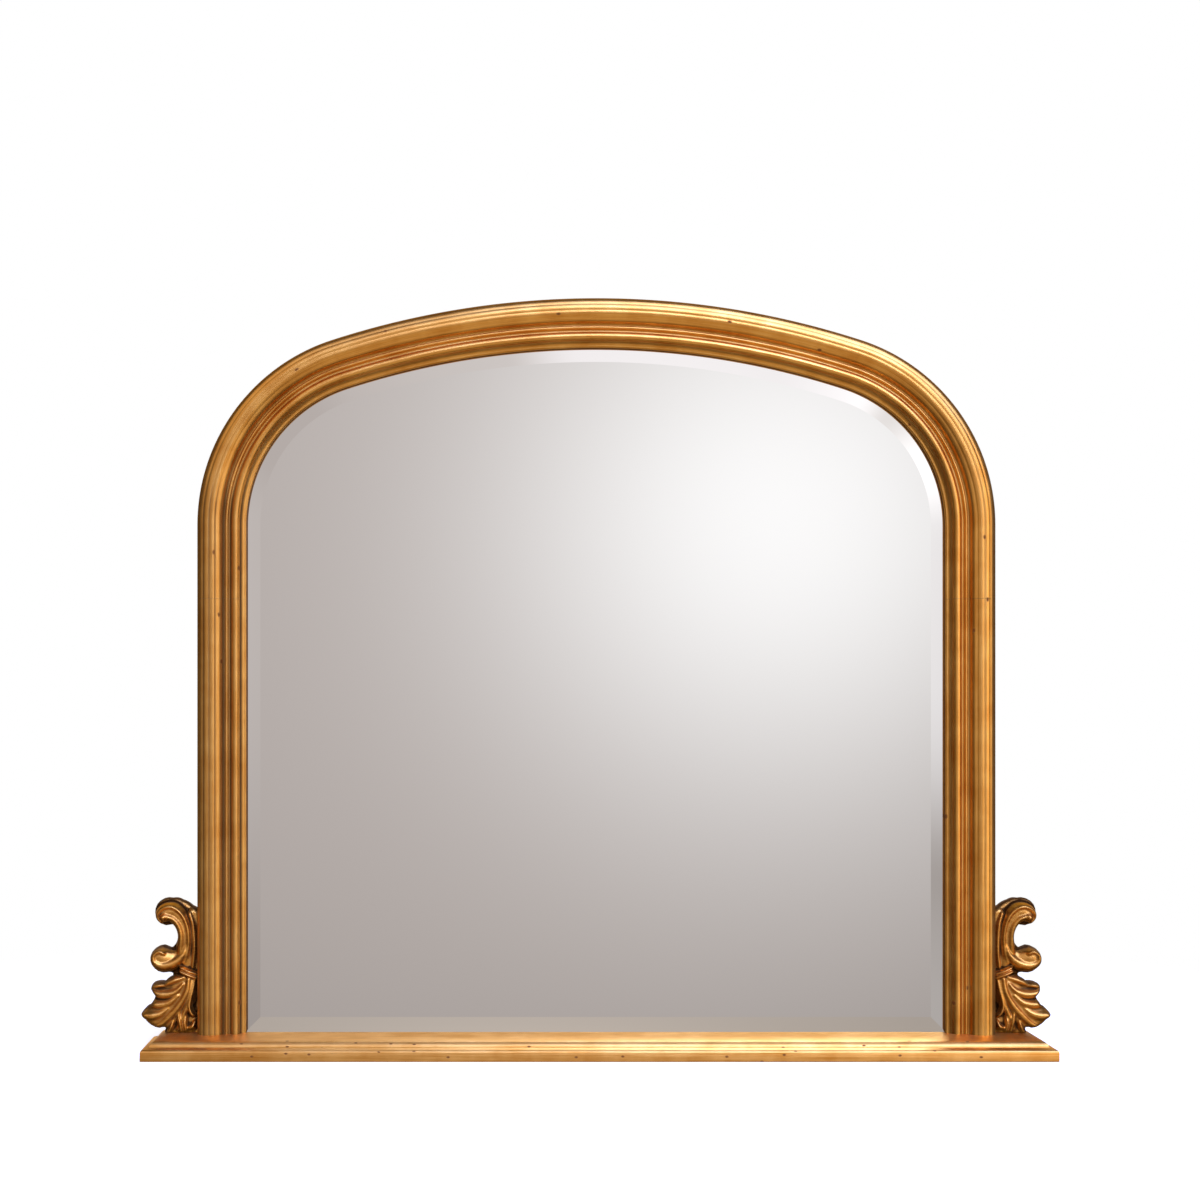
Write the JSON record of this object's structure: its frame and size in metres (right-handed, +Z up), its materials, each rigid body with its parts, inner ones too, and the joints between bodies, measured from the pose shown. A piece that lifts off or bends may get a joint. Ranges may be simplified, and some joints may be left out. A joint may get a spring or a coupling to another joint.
{
  "type": "overmantel mirror",
  "caption": "Arched overmantel mirror: reeded gilt frame on a moulded ledge base, a carved scroll at each foot, bevelled glass, and D-ring hangers behind.",
  "frame": {"origin": "middle of the overall box, at the underside of the base", "axes": "+X to the viewer's right along the base, +Y back to the wall, +Z up"},
  "size_m": [1.295, 0.1156, 1.0689],
  "materials": {
    "gilt": "aged satin gold leaf over gesso and red-brown bole, worn at the edges",
    "bare_timber": "bare softwood",
    "mirror": "silvered float glass, polished, with a bevelled edge",
    "tape": "black foam tape",
    "block_rubber": "black, matt",
    "backing": "brown hardboard",
    "steel": "bright zinc plate",
    "brass": "brass plate, satin",
    "bumper_rubber": "brown, matt"
  },
  "bodies": {
    "frame": {"left_stile": "gilt", "right_stile": "gilt", "left_haunch": "gilt", "right_haunch": "gilt", "crown_rail": "gilt", "bottom_rail": "bare_timber", "base_plinth": "gilt", "left_scroll_carving": "gilt", "right_scroll_carving": "gilt", "mirror_glass": "mirror", "rebate_tape": "tape", "setting_blocks": "block_rubber", "backing_board": "backing", "framing_points": "steel", "joint_dowels": "bare_timber", "carving_dowels": "bare_timber", "mending_plates": "steel", "mending_plate_screws": "steel", "base_screws": "steel", "left_hanger_strap": "brass", "right_hanger_strap": "brass", "hanger_screws": "brass", "wall_bumpers": "bumper_rubber"},
    "left_ring": {"left_d_ring": "brass"},
    "right_ring": {"right_d_ring": "brass"}
  },
  "joints": [
    {"name": "left_ring_swing", "type": "hinge", "parent": "frame", "child": "left_ring", "pos_m": [-0.535, 0.05385, 0.742], "axis": [1, 0, 0], "range_deg": [0, 180]},
    {"name": "right_ring_swing", "type": "hinge", "parent": "frame", "child": "right_ring", "pos_m": [0.535, 0.05385, 0.742], "axis": [1, 0, 0], "range_deg": [0, 180]}
  ]
}
